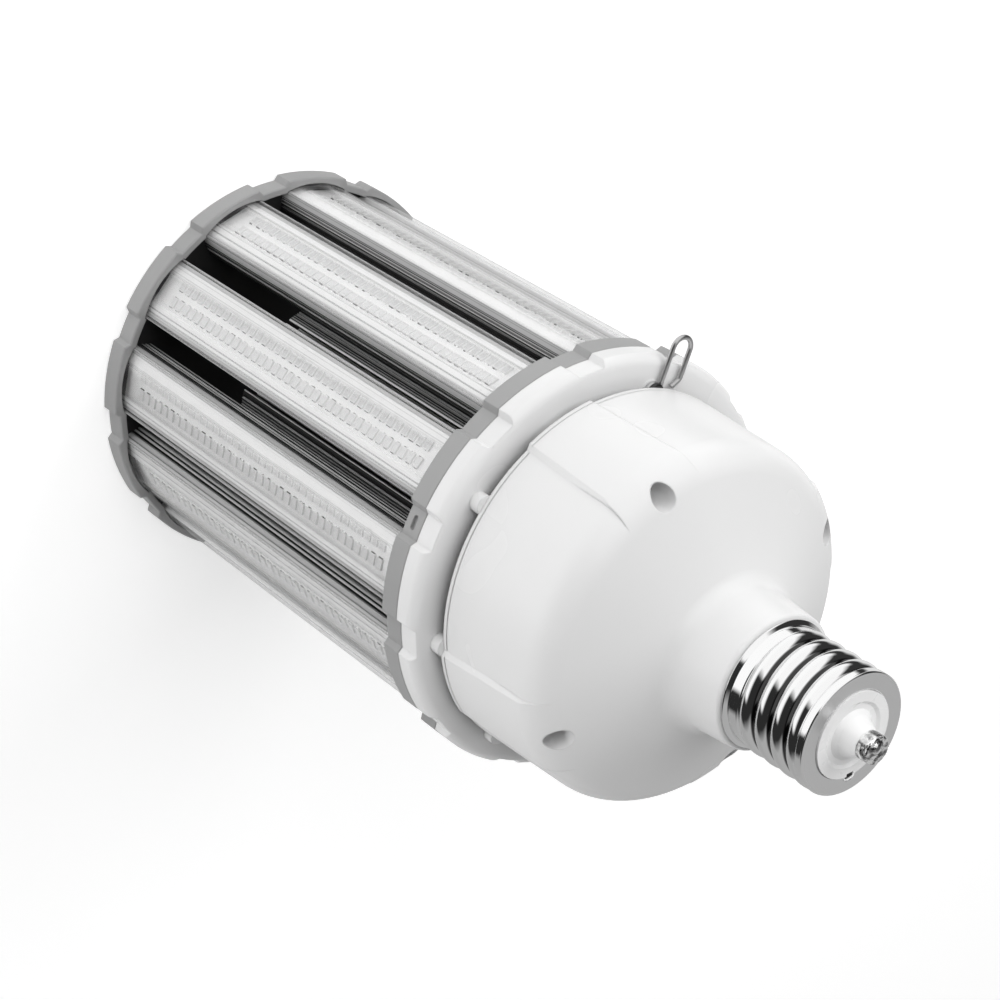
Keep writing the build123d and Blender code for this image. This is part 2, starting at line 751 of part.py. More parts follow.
def main():
    os.makedirs("parts", exist_ok=True)
    write("head_ring", head_ring())
    write("head_plate", head_plate())
    write("head_screws", head_screws())
    write("base_ring", base_ring())
    write("collar", collar())
    write("collar_screws", collar_screws())
    one_bar = bar()
    one_board = led_board()
    one_cover = cover()
    for number, place in enumerate(PolarLocations(0, bar_count), start=1):
        write(f"bar_{number:02d}", place * one_bar)
        write(f"led_board_{number:02d}", place * one_board)
        write(f"lens_cover_{number:02d}", place * one_cover)
    write("driver_board", driver_board())
    write("driver_board_screws", driver_board_screws())
    write("driver_transformer", driver_transformer())
    write("driver_capacitors", driver_capacitors())
    write("driver_choke", driver_choke())
    write("driver_housing", driver_housing())
    write("housing_screws", housing_screws())
    write("screw_sleeve", screw_sleeve())
    write("base_insulator", base_insulator())
    write("sleeve_solder", sleeve_solder())
    write("centre_contact", centre_contact())
    write("safety_loop", safety_loop())
    write("loop_screw", loop_screw())


main()
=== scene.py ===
# %% [markdown]
# # An LED corn lamp, dressed for a product picture
#
# The lamp is a drum of twelve light bars between two grey rings, with a white driver
# housing and a large screw base. It stands on its flat head. The solid model already holds
# every piece at its real size. Here each piece gets the surface of its real material, and
# the pieces that are too fine for the solid model, such as the LED packages, are added.

# %% Load the fixed frame
import math

import bpy
import numpy as np
from mathutils import Matrix, Vector


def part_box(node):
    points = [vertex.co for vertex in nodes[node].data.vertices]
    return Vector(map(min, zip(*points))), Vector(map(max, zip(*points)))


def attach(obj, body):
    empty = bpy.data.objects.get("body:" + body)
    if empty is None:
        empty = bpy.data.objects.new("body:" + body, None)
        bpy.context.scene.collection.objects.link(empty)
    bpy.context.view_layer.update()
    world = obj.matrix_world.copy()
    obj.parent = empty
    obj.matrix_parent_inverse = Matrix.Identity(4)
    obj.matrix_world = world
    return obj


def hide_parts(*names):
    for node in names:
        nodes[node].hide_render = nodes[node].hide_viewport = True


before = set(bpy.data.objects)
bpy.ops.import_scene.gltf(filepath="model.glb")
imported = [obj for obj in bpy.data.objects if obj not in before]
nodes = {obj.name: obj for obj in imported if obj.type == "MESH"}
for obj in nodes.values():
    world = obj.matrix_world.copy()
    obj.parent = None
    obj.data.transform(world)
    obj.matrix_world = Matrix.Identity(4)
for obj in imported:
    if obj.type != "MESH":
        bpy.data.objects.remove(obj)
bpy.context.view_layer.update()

MM = 0.001
BARS = 12
BAR_STEP = 2 * math.pi / BARS
print("nodes in the frame:", len(nodes))

# %% [markdown]
# ## Camera
#
# The photograph looks down on the lamp from the side of its screw base, and it is turned
# so that the lamp lies across the picture. A camera can be given by where it stands and
# by the two directions that are right and up in its picture. The third direction follows
# from those two, so the three make one rotation matrix.

# %% Camera
CAMERA_PLACE_MM = (-537.5, 315.0, 698.3)
PICTURE_RIGHT = Vector((0.7641, 0.1845, 0.6180))
PICTURE_UP = Vector((0.1047, 0.9103, -0.4010))
LENS_MM = 95.5
SENSOR_MM = 36.0
FARTHEST_M = 20.0

right = PICTURE_RIGHT.normalized()
up = (PICTURE_UP - PICTURE_UP.dot(right) * right).normalized()
towards_camera = right.cross(up)
camera_data = bpy.data.cameras.new("photo_camera")
camera_data.lens = LENS_MM
camera_data.sensor_width = SENSOR_MM
camera_data.clip_end = FARTHEST_M
camera = bpy.data.objects.new("photo_camera", camera_data)
turn = Matrix((right, up, towards_camera)).transposed().to_4x4()
camera.matrix_world = Matrix.Translation(Vector(CAMERA_PLACE_MM) * MM) @ turn
bpy.context.scene.collection.objects.link(camera)
bpy.context.scene.camera = camera
print("camera looks along", [round(-c, 3) for c in towards_camera])

# %% [markdown]
# ## Helpers for materials
#
# Colours are given as sRGB hex values, but a renderer adds light, so it needs
# linear values. One function does that change for every colour here. Another adds one
# shader node, sets its values and joins its inputs, which keeps each material short.


# %% Colours and shader nodes
def linear(hex_colour):
    """Linear RGBA of an sRGB hex colour."""
    channels = [int(hex_colour[i:i + 2], 16) / 255 for i in (1, 3, 5)]
    decoded = [c / 12.92 if c <= 0.04045 else ((c + 0.055) / 1.055) ** 2.4 for c in channels]
    return (*decoded, 1.0)


def add_node(tree, kind, values=None, links=None, **settings):
    """Add a node, set its properties and input values, and link its inputs."""
    node = tree.nodes.new(kind)
    for name, value in settings.items():
        setattr(node, name, value)
    for name, value in (values or {}).items():
        node.inputs[name].default_value = value
    for name, socket in (links or {}).items():
        tree.links.new(socket, node.inputs[name])
    return node


print("mid grey is", round(linear("#808080")[0], 3), "in linear light")


# %% The start and the end of a material
def new_material(name):
    """A material with an empty node tree, and that tree."""
    material = bpy.data.materials.new(name)
    material.use_nodes = True
    material.node_tree.nodes.clear()
    return material, material.node_tree


def show(material, shader):
    """Join a shader node to the material's output."""
    add_node(material.node_tree, "ShaderNodeOutputMaterial", None, {"Surface": shader.outputs[0]})
    print("made", material.name)
    return material


print("materials start empty and end in one shader")

# %% [markdown]
# ## Patterns at their real size
#
# A pattern has to keep its size in millimetres, whatever piece it lies on. All pieces
# share one frame in metres, so the object's own coordinates are real places on the lamp.
# A noise texture draws about one feature for each unit, and its scale is therefore one
# over the feature's size. Stretching the coordinates draws a pattern out along an axis.


# %% Places and scales
def place(tree, stretch=(1, 1, 1)):
    """The surface point in metres, stretched along the lamp's axes."""
    coordinates = add_node(tree, "ShaderNodeTexCoord")
    mapping = add_node(tree, "ShaderNodeMapping", {"Scale": stretch},
                       {"Vector": coordinates.outputs["Object"]})
    return mapping.outputs["Vector"]


def per_metre(size_mm):
    """Texture scale that gives one feature per so many millimetres."""
    return 1.0 / (size_mm * MM)


def from_axis(tree):
    """Distance from the lamp's axis, in metres."""
    flat = place(tree, (1, 1, 0))
    return add_node(tree, "ShaderNodeVectorMath", None, {0: flat}, operation="LENGTH").outputs["Value"]


print("scale of a 1 mm pattern:", per_metre(1))

# %% [markdown]
# ## Rounded edges
#
# No moulded or extruded edge is sharp: the tool rounds it by a few tenths of a millimetre,
# and that round catches a thin line of light. It could be cut into the mesh, but the solid
# pieces keep their meshes. The Bevel node turns the normal near each edge instead.


# %% Rounded edges
def soft_edges(tree, radius_mm):
    """A normal that turns round each edge, as if the edge had that radius."""
    return add_node(tree, "ShaderNodeBevel", {"Radius": radius_mm * MM}, samples=4).outputs["Normal"]


print("edges are rounded in the shader")

# %% [markdown]
# ## Glossy white moulding
#
# The collar and the driver housing are PBT, the usual plastic for lamp bases. It leaves
# the polished tool glossy, with no grain, and shrinks a little over its ribs and screw
# tubes. A plain white shader would look like paper. A low roughness gives the drifting
# reflections of a moulded part, and a very shallow, wide waviness bends them slightly.

# %% Glossy white PBT
SHRINKAGE_MM = 28
PBT_EDGE_MM = 0.7


def moulded_pbt():
    material, tree = new_material("moulded_gloss_pbt")
    shrinkage = add_node(tree, "ShaderNodeTexNoise", {"Scale": per_metre(SHRINKAGE_MM), "Detail": 1.0},
                         {"Vector": place(tree)})
    bump = add_node(tree, "ShaderNodeBump", {"Strength": 0.06, "Distance": 0.4 * MM},
                    {"Height": shrinkage.outputs["Fac"], "Normal": soft_edges(tree, PBT_EDGE_MM)})
    polish = add_node(tree, "ShaderNodeMapRange", {"To Min": 0.22, "To Max": 0.30},
                      {"Value": shrinkage.outputs["Fac"]})
    shader = add_node(tree, "ShaderNodeBsdfPrincipled",
                      {"Base Color": linear("#e1e1e1"), "IOR": 1.54, "Specular IOR Level": 0.35},
                      {"Roughness": polish.outputs["Result"], "Normal": bump.outputs["Normal"]})
    return show(material, shader)


white_plastic = moulded_pbt()

# %% [markdown]
# ## Satin grey moulding
#
# The two lobed rings are grey polycarbonate from a tool with a fine spark-eroded texture.
# The texture is about a third of a millimetre across, which is near the limit of what the
# picture shows. It could be modelled, but a bump gives the same satin look at no cost.

# %% Satin grey polycarbonate
SPARK_TEXTURE_MM = 0.35
RING_EDGE_MM = 0.5


def moulded_grey():
    material, tree = new_material("moulded_satin_polycarbonate")
    texture = add_node(tree, "ShaderNodeTexNoise", {"Scale": per_metre(SPARK_TEXTURE_MM), "Detail": 3.0},
                       {"Vector": place(tree)})
    bump = add_node(tree, "ShaderNodeBump", {"Strength": 0.2, "Distance": 0.02 * MM},
                    {"Height": texture.outputs["Fac"], "Normal": soft_edges(tree, RING_EDGE_MM)})
    satin = add_node(tree, "ShaderNodeMapRange", {"To Min": 0.40, "To Max": 0.50},
                     {"Value": texture.outputs["Fac"]})
    shader = add_node(tree, "ShaderNodeBsdfPrincipled",
                      {"Base Color": linear("#9a9a9a"), "IOR": 1.585},
                      {"Roughness": satin.outputs["Result"], "Normal": bump.outputs["Normal"]})
    return show(material, shader)


grey_plastic = moulded_grey()

# %% [markdown]
# ## Extruded aluminium
#
# Each light bar is an aluminium extrusion, pressed through a die and clear anodised. The
# die draws fine straight lines along the whole bar, and each one turns the surface a
# little, so the bar shows as many thin bright and dark lines. A noise that doesn't
# change along the lamp's axis draws them, as bump and as painted reflection in the colour,
# from near black to white. Real die lines are finer than the picture can show, so these
# are drawn as coarse as they need to be to show.
#
# The oxide film scatters some light, so the metal isn't a full mirror, and the narrow
# valleys between the ribs get less light than the ribs. Ambient occlusion finds those
# valleys by how much nearby surface stands round a point, and darkens the colour there
# as painted shade.


# %% A colour between two others
def between(tree, low_hex, high_hex, share):
    """A colour between two others, by a share from 0 to 1."""
    mix = add_node(tree, "ShaderNodeMix", {6: linear(low_hex), 7: linear(high_hex)}, {0: share},
                   data_type="RGBA")
    return mix.outputs[2]


print("two-colour patterns are ready")

# %% Extruded aluminium
DIE_LINE_MM = 0.85
VALLEY_SHADE_MM = 1.6
BAR_EDGE_MM = 0.3


def extruded_aluminium():
    material, tree = new_material("extruded_anodised_aluminium")
    die_lines = add_node(tree, "ShaderNodeTexNoise", {"Scale": per_metre(DIE_LINE_MM), "Detail": 1.0},
                         {"Vector": place(tree, (1, 1, 0))})
    stripe = add_node(tree, "ShaderNodeMapRange", {"From Min": 0.46, "From Max": 0.54},
                      {"Value": die_lines.outputs["Fac"]})
    bump = add_node(tree, "ShaderNodeBump", {"Strength": 0.8, "Distance": 0.12 * MM},
                    {"Height": die_lines.outputs["Fac"], "Normal": soft_edges(tree, BAR_EDGE_MM)})
    rough = add_node(tree, "ShaderNodeMapRange", {"To Min": 0.34, "To Max": 0.24},
                     {"Value": stripe.outputs["Result"]})
    # The colour of the die lines, near black to white, is painted reflection.
    painted_reflection_stripes = between(tree, "#2a2a2a", "#ffffff", stripe.outputs["Result"])
    # Painted shade: occlusion darkens the colour in the narrow gaps between the ribs.
    valley_painted_shade = add_node(tree, "ShaderNodeAmbientOcclusion", {"Distance": VALLEY_SHADE_MM * MM}, {"Color": painted_reflection_stripes},
                       samples=4)
    shader = add_node(tree, "ShaderNodeBsdfPrincipled", {"Metallic": 0.45},
                      {"Base Color": valley_painted_shade.outputs["Color"], "Roughness": rough.outputs["Result"],
                       "Normal": bump.outputs["Normal"]})
    return show(material, shader)


aluminium = extruded_aluminium()

# %% [markdown]
# ## Clear cover
#
# The covers are clear polycarbonate strips, one millimetre thick. A glass shader would
# bend each ray four times for a sheet that hardly bends light at all, so the sheet mixes
# a transparent shader with a mirror, and the mirror grows where the sheet is seen edge-on.
# Lines from the die, stretched a long way along the bar, bend that mirror a little.


# %% Clear sheet
SHEET_LINE_MM = 1.6
LINE_STRETCH = 0.003


def clear_sheet(tree):
    """Clear plastic that mirrors more where it is seen edge-on."""
    die_lines = add_node(tree, "ShaderNodeTexNoise", {"Scale": per_metre(SHEET_LINE_MM), "Detail": 1.0},
                         {"Vector": place(tree, (1, 1, LINE_STRETCH))})
    bump = add_node(tree, "ShaderNodeBump", {"Strength": 0.03, "Distance": 0.02 * MM},
                    {"Height": die_lines.outputs["Fac"]})
    edge_on = add_node(tree, "ShaderNodeLayerWeight", {"Blend": 0.5}, {"Normal": bump.outputs["Normal"]})
    rise = add_node(tree, "ShaderNodeMath", {1: 3.5}, {0: edge_on.outputs["Facing"]}, operation="POWER")
    gloss = add_node(tree, "ShaderNodeMapRange", {"To Min": 0.035, "To Max": 0.6}, {"Value": rise.outputs[0]})
    clear = add_node(tree, "ShaderNodeBsdfTransparent", {"Color": linear("#fbfbfb")})
    mirror = add_node(tree, "ShaderNodeBsdfPrincipled",
                      {"Base Color": linear("#ffffff"), "Metallic": 1.0, "Roughness": 0.1},
                      {"Normal": bump.outputs["Normal"]})
    return add_node(tree, "ShaderNodeMixShader", None,
                    {0: gloss.outputs["Result"], 1: clear.outputs[0], 2: mirror.outputs[0]})


print("lines in the sheet are", SHEET_LINE_MM, "mm wide and", round(SHEET_LINE_MM / LINE_STRETCH), "mm long")

# %% [markdown]
# The two legs of a cover are seen through their long side, where the plastic looks milky,
# with grey lines from the die. That milky grey is painted into the colour, as painted shade
# and reflection of a clear sheet seen edge-on; the die lines under it are real. The lines
# are drawn coarser than the real ones, so that they show. The legs lie nearer to the lamp's
# axis than the arched strip between them, so the distance from the axis tells the two apart.

# %% Clear polycarbonate with legs in painted grey
LEG_LINE_MM = 0.8
LEG_TOP_R_MM = 65.3
ARCH_LOW_R_MM = 65.7


def clear_polycarbonate():
    material, tree = new_material("clear_extruded_polycarbonate")
    leg_lines = add_node(tree, "ShaderNodeTexNoise", {"Scale": per_metre(LEG_LINE_MM), "Detail": 1.0},
                         {"Vector": place(tree, (1, 1, 0))})
    leg_line = add_node(tree, "ShaderNodeMapRange", {"From Min": 0.36, "From Max": 0.46},
                        {"Value": leg_lines.outputs["Fac"]})
    # The legs' milky grey is painted shade and reflection of a sheet seen edge-on.
    painted_edge_on_grey = add_node(tree, "ShaderNodeBsdfPrincipled", {"Roughness": 0.25},
                     {"Base Color": between(tree, "#8c8c8c", "#fbfbfb", leg_line.outputs["Result"])})
    leg = add_node(tree, "ShaderNodeMapRange",
                   {"From Min": LEG_TOP_R_MM * MM, "From Max": ARCH_LOW_R_MM * MM,
                    "To Min": 0.5, "To Max": 0.0},
                   {"Value": from_axis(tree)})
    strip = add_node(tree, "ShaderNodeMixShader", None,
                     {0: leg.outputs["Result"], 1: clear_sheet(tree).outputs[0], 2: painted_edge_on_grey.outputs[0]})
    return show(material, strip)


clear_plastic = clear_polycarbonate()

# %% [markdown]
# ## White solder mask
#
# The LED boards are aluminium sheets under a white, slightly glossy lacquer. The lacquer
# lies in soft waves of a few hundredths of a millimetre over the copper below it. A
# shallow bump gives those waves, and they break up the reflection a little.

# %% White solder mask
LACQUER_WAVE_MM = 1.2


def white_solder_mask():
    material, tree = new_material("white_solder_mask")
    lacquer = add_node(tree, "ShaderNodeTexNoise", {"Scale": per_metre(LACQUER_WAVE_MM), "Detail": 2.0},
                       {"Vector": place(tree)})
    bump = add_node(tree, "ShaderNodeBump", {"Strength": 0.12, "Distance": 0.03 * MM},
                    {"Height": lacquer.outputs["Fac"]})
    gloss = add_node(tree, "ShaderNodeMapRange", {"To Min": 0.3, "To Max": 0.42},
                     {"Value": lacquer.outputs["Fac"]})
    shader = add_node(tree, "ShaderNodeBsdfPrincipled",
                      {"Base Color": linear("#f8f8f8"), "IOR": 1.5},
                      {"Roughness": gloss.outputs["Result"], "Normal": bump.outputs["Normal"]})
    return show(material, shader)


board_white = white_solder_mask()

# %% [markdown]
# ## Bright nickel plate
#
# The screw sleeve is rolled brass with a bright nickel plate. It is almost a mirror, so
# what it shows is the studio around it. The plate is very slightly hazy, and a slow change
# in roughness keeps the mirror from looking computed. The thread's grooves get a darker
# colour, as painted shade. The flat front of the sleeve was pressed by a blunt tool, which
# leaves it satin under the same plate.

# %% Bright nickel plate
HAZE_MM = 4
GROOVE_SHADE_R_MM = 18.45
GROOVE_SHADE_FADE_MM = 0.35


def nickel_plate(name, smoothest, roughest, groove_shade_r_mm=None):
    """Nickel plate. With a radius, its colour is darkened as painted shade where it lies nearer to the axis
    than that.
    """
    material, tree = new_material(name)
    haze = add_node(tree, "ShaderNodeTexNoise", {"Scale": per_metre(HAZE_MM), "Detail": 3.0},
                    {"Vector": place(tree)})
    rough = add_node(tree, "ShaderNodeMapRange", {"To Min": smoothest, "To Max": roughest},
                     {"Value": haze.outputs["Fac"]})
    shader = add_node(tree, "ShaderNodeBsdfPrincipled", {"Base Color": linear("#eeeeee"), "Metallic": 1.0},
                      {"Roughness": rough.outputs["Result"]})
    if groove_shade_r_mm:
        # Painted shade: the colour turns dark in the thread's grooves.
        crest = add_node(tree, "ShaderNodeMapRange",
                         {"From Min": (groove_shade_r_mm - GROOVE_SHADE_FADE_MM) * MM, "From Max": groove_shade_r_mm * MM},
                         {"Value": from_axis(tree)})
        colour = between(tree, "#404040", "#eeeeee", crest.outputs["Result"])
        tree.links.new(colour, shader.inputs["Base Color"])
    return show(material, shader)


nickel = nickel_plate("bright_nickel_plate", 0.05, 0.10)
thread_nickel_painted_shade = nickel_plate("bright_nickel_plate_painted_groove_shade", 0.05, 0.10, GROOVE_SHADE_R_MM)
satin_nickel = nickel_plate("satin_nickel_plate", 0.30, 0.38)

# %% [markdown]
# ## The small finishes
#
# What is left is small or half hidden: wire, screws, solder, white urea, ferrite and the
# driver's board. They differ in colour, gloss and how coarse their surface is, and not in
# how they are built, so one function makes them all. Solder also gets darker patches at
# random places.


# %% One small finish
def small_finish(name, hex_colour, roughness, metallic=0.0, grain_mm=0.5, grain=0.1, relief_mm=0.05,
                 dark_hex=None):
    """A finish with a grain of a real size, in one colour or with dark patches."""
    material, tree = new_material(name)
    speckle = add_node(tree, "ShaderNodeTexNoise", {"Scale": per_metre(grain_mm), "Detail": 2.0},
                       {"Vector": place(tree)})
    bump = add_node(tree, "ShaderNodeBump", {"Strength": grain, "Distance": relief_mm * MM},
                    {"Height": speckle.outputs["Fac"]})
    rough = add_node(tree, "ShaderNodeMapRange", {"To Min": roughness * 0.85, "To Max": roughness * 1.15},
                     {"Value": speckle.outputs["Fac"]})
    shader = add_node(tree, "ShaderNodeBsdfPrincipled",
                      {"Base Color": linear(hex_colour), "Metallic": metallic},
                      {"Roughness": rough.outputs["Result"], "Normal": bump.outputs["Normal"]})
    if dark_hex:
        patch = add_node(tree, "ShaderNodeMapRange", {"From Min": 0.38, "From Max": 0.56},
                         {"Value": speckle.outputs["Fac"]})
        colour = between(tree, dark_hex, hex_colour, patch.outputs["Result"])
        tree.links.new(colour, shader.inputs["Base Color"])
    return show(material, shader)


white_urea = small_finish("moulded_white_urea", "#efefef", 0.28, grain_mm=8, grain=0.05)

# %% Metals
tin_solder = small_finish("reflowed_tin_solder", "#ffffff", 0.14, 1.0, grain_mm=1.9, grain=1.0, relief_mm=0.6,
                          dark_hex="#7c7c7c")
tinned_wire = small_finish("tinned_copper_wire", "#ffffff", 0.3, 0.3, grain_mm=0.4, grain=0.1)
spring_steel = small_finish("drawn_spring_steel", "#c0c0c0", 0.3, 1.0, grain_mm=0.4, grain=0.1)
black_oxide = small_finish("black_oxide_steel", "#4c4c4c", 0.32, 1.0, grain_mm=0.3, grain=0.2)
zinc = small_finish("zinc_plated_steel", "#b8b8b8", 0.3, 1.0, grain_mm=0.6, grain=0.15)

# %% Small plastics and the driver's finishes
# Near black as painted shade: it keeps the space inside the head of the drum dark.
black_plastic_painted_shade = small_finish("dark_head_plate_painted_shade", "#202020", 0.5, grain_mm=0.4, grain=0.2)
led_body = small_finish("white_led_polyamide", "#e9e9e9", 0.45, grain_mm=0.4, grain=0.1)
warm_window = small_finish("warm_phosphor_silicone", "#d4d4d4", 0.3, grain_mm=0.25, grain=0.2)
cool_window = small_finish("cool_phosphor_silicone", "#e2e2e2", 0.3, grain_mm=0.25, grain=0.2)
glass_epoxy = small_finish("glass_epoxy_board", "#3d5a44", 0.45, grain_mm=0.6, grain=0.2)
ferrite = small_finish("sintered_ferrite", "#343230", 0.5, grain_mm=0.5, grain=0.3)
shrink_film = small_finish("capacitor_shrink_film", "#26282e", 0.3, grain_mm=3, grain=0.1)
# Black for the painted shade in the insulator's notch.
black_painted_notch_shade = small_finish("black_painted_notch_shade_finish", "#0c0c0c", 0.6, grain_mm=1.5, grain=0.2)

# %% [markdown]
# ## Finishes on the solid pieces
#
# The solid pieces keep their meshes and their places, and each one only gets its finish.
# Pieces that come in twelves share the start of their name, so a rule covers them, and
# whatever isn't named is a zinc-plated screw.

# %% Finishes on the solid pieces
NODE_FINISH = {
    "head_ring": grey_plastic,
    "base_ring": grey_plastic,
    # The head plate's black is painted shade inside the drum's head.
    "head_plate": black_plastic_painted_shade,
    "collar": white_plastic,
    "driver_housing": white_plastic,
    "base_insulator": white_urea,
    "screw_sleeve": nickel,
    "centre_contact": nickel,
    "sleeve_solder": tin_solder,
    "safety_loop": spring_steel,
    "loop_screw": black_oxide,
    "driver_board": glass_epoxy,
    "driver_transformer": ferrite,
    "driver_choke": ferrite,
    "driver_capacitors": shrink_film,
}
GROUP_FINISH = {"bar_": aluminium, "led_board_": board_white, "lens_cover_": clear_plastic}

for name, node in nodes.items():
    finish = NODE_FINISH.get(name, zinc)
    for start, group_finish in GROUP_FINISH.items():
        if name.startswith(start):
            finish = group_finish
    node.data.materials.clear()
    node.data.materials.append(finish)
print("finishes set on", len(nodes), "nodes")

# %% [markdown]
# ## A helper for new pieces
#
# A new piece is a mesh of points and faces, in the lamp's own place. It rides on the lamp,
# takes the finishes it is given, and may stand for one of the solid pieces. Smooth shading
# hides the facets of round forms. From here on, a size whose name gives no unit is in
# millimetres.


# %% Helper for new pieces
def add_piece(name, points_mm, faces, finishes, stands_for=(), finish_of_face=None, smooth=True):
    """Make a mesh piece from points in millimetres and set how it belongs to the lamp."""
    mesh = bpy.data.meshes.new(name)
    mesh.from_pydata([tuple(c * MM for c in point) for point in points_mm], [], faces)
    for finish in finishes:
        mesh.materials.append(finish)
    if finish_of_face is not None:
        mesh.polygons.foreach_set("material_index", finish_of_face)
    mesh.polygons.foreach_set("use_smooth", [smooth] * len(mesh.polygons))
    mesh.update()
    piece = bpy.data.objects.new(name, mesh)
    bpy.context.scene.collection.objects.link(piece)
    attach(piece, "lamp")
    if stands_for:
        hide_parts(*stands_for)
    print(name, "has", len(mesh.vertices), "points")
    return piece


# %% Faces of a grid that runs round
def grid_faces(rows, columns, close_rows=False):
    """Quads of a grid whose columns run round and join up."""
    faces = []
    last = rows if close_rows else rows - 1
    for row in range(last):
        above = (row + 1) % rows
        for column in range(columns):
            beside = (column + 1) % columns
            faces.append((row * columns + column, row * columns + beside,
                          above * columns + beside, above * columns + column))
    return faces


print("a grid of 3 rows and 4 columns has", len(grid_faces(3, 4)), "faces")

# %% [markdown]
# ## Screw sleeve
#
# The sleeve is thin brass, rolled between two dies that press the thread into it. Its
# crests are wide and round and its roots are narrow, and nothing on it has a sharp edge.
# A swept ridge on a cylinder would leave a hard seam, so the sleeve is one grid that runs
# up the outside, over the front and back down the inside. The radius of each point comes
# from two shapes, the turned form and the helical crest, blended where they meet.

# %% Sizes of the sleeve
THREAD_MAJOR_R = 19.65
THREAD_ROOT_R = 18.1
THREAD_PITCH = 6.35
THREAD_START = 4.2
THREAD_END_BELOW_FRONT = 2.2
THREAD_RUN_IN = 1.0
THREAD_RUN_IN_START = 4.4
UNDER_ROOT = 0.6
CREST_ARC_R = 2.82
SLEEVE_WALL = 0.8
SLEEVE_MOUTH_R = 13.9
RIM_R = 19.5
RIM_HEIGHT = 2.6
RIM_BLEND = 1.4

sleeve_low, sleeve_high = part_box("screw_sleeve")
SLEEVE_Z = sleeve_low.z / MM
SLEEVE_TOP_Z = sleeve_high.z / MM
SLEEVE_LENGTH = SLEEVE_TOP_Z - SLEEVE_Z
print("sleeve is", round(SLEEVE_LENGTH, 2), "mm long")

# %% Outside of the sleeve
BLEND_SOFTNESS = 0.22
# Where the forms meet, the blend adds up to 0.11 mm, and this much is taken off again.
BLEND_GROWTH = 0.06
# Heights above the lip and radii there, from the flared lip to the front.
TURNED_FORM = ((0.0, 20.4), (0.15, 20.6), (0.6, 20.6), (1.5, 19.3), (5.0, 19.3), (5.9, THREAD_ROOT_R),
               (SLEEVE_LENGTH - RIM_HEIGHT - RIM_BLEND, THREAD_ROOT_R), (SLEEVE_LENGTH - RIM_HEIGHT, RIM_R),
               (SLEEVE_LENGTH, RIM_R))


def crest_radius(height, angle):
    """Radius of the rolled crest, which climbs one pitch for each turn."""
    turns = (height - THREAD_START) / THREAD_PITCH - angle / (2 * math.pi)
    from_crest = np.abs(turns - np.round(turns)) * THREAD_PITCH
    arc = np.sqrt(np.maximum(CREST_ARC_R ** 2 - from_crest ** 2, 0.0))
    low = THREAD_ROOT_R - UNDER_ROOT
    run_in = np.clip((height - THREAD_RUN_IN_START) / THREAD_RUN_IN, 0, 1)
    run_out = np.clip((SLEEVE_LENGTH - THREAD_END_BELOW_FRONT - height) / THREAD_RUN_IN, 0, 1)
    return low + (THREAD_MAJOR_R - CREST_ARC_R + arc - low) * run_in * run_out


def outside_radius(height, angle):
    """The larger of the turned form and the crest, with a rounded change between them."""
    turned = np.interp(height, *zip(*TURNED_FORM))
    crest = crest_radius(height, angle)
    larger = 0.5 * (turned + crest + np.sqrt((turned - crest) ** 2 + BLEND_SOFTNESS ** 2))
    return larger - BLEND_GROWTH


print("radius over a crest:", round(float(outside_radius(THREAD_START + 2 * THREAD_PITCH, 0.0)), 2), "mm")

# %% [markdown]
# Each row of the grid is a ring of points with a radius and a height, and the finish of
# the faces above it: the thread, with painted shade in its grooves, the plain plate of the
# rounded rim, the satin front and the plain inside.

# %% Rows of the sleeve
PLAIN, THREAD, FRONT = 0, 1, 2
LIP_END = 1.6
LIP_ROWS = 14
BODY_START = 1.8
BODY_ROWS = 150
RIM_ROUND = 0.6
RIM_STEPS = 8
MOUTH_ROUND = 0.3
MOUTH_ROUND_MIDDLE = 0.08
MOUTH_EDGE_WIDTH = 0.05
FRONT_SHARES = (0, 0.02, 0.15, 0.5, 0.85)


def sleeve_rows(angle):
    """Rows of radius, height and finish: up the outside, over the front, down the inside."""
    lip = np.linspace(0.0, LIP_END, LIP_ROWS)
    body = np.linspace(BODY_START, SLEEVE_LENGTH - RIM_ROUND, BODY_ROWS)
    rows = [(outside_radius(height, angle), height, THREAD) for height in (*lip, *body)]
    for step in range(1, RIM_STEPS):
        quarter = step / RIM_STEPS * math.pi / 2
        rows.append((RIM_R - RIM_ROUND + RIM_ROUND * math.cos(quarter),
                     SLEEVE_LENGTH - RIM_ROUND + RIM_ROUND * math.sin(quarter), PLAIN))
    outer = RIM_R - RIM_ROUND
    inner = SLEEVE_MOUTH_R + MOUTH_ROUND
    rows += [(outer + (inner - outer) * share, SLEEVE_LENGTH, FRONT) for share in FRONT_SHARES]
    rows.append((inner + MOUTH_EDGE_WIDTH, SLEEVE_LENGTH, FRONT))
    rows.append((inner, SLEEVE_LENGTH, PLAIN))
    rows.append((SLEEVE_MOUTH_R + MOUTH_ROUND_MIDDLE, SLEEVE_LENGTH - MOUTH_ROUND_MIDDLE, PLAIN))
    rows.append((SLEEVE_MOUTH_R, SLEEVE_LENGTH - MOUTH_ROUND, PLAIN))
    rows.append((SLEEVE_MOUTH_R, SLEEVE_LENGTH - SLEEVE_WALL, PLAIN))
    rows.append((THREAD_ROOT_R - SLEEVE_WALL, SLEEVE_LENGTH - SLEEVE_WALL, PLAIN))
    rows.append((THREAD_ROOT_R - SLEEVE_WALL, 0.0, PLAIN))
    return rows


print("rows of the sleeve:", len(sleeve_rows(0.0)))

# %% Sleeve as one mesh
SLEEVE_COLUMNS = 240


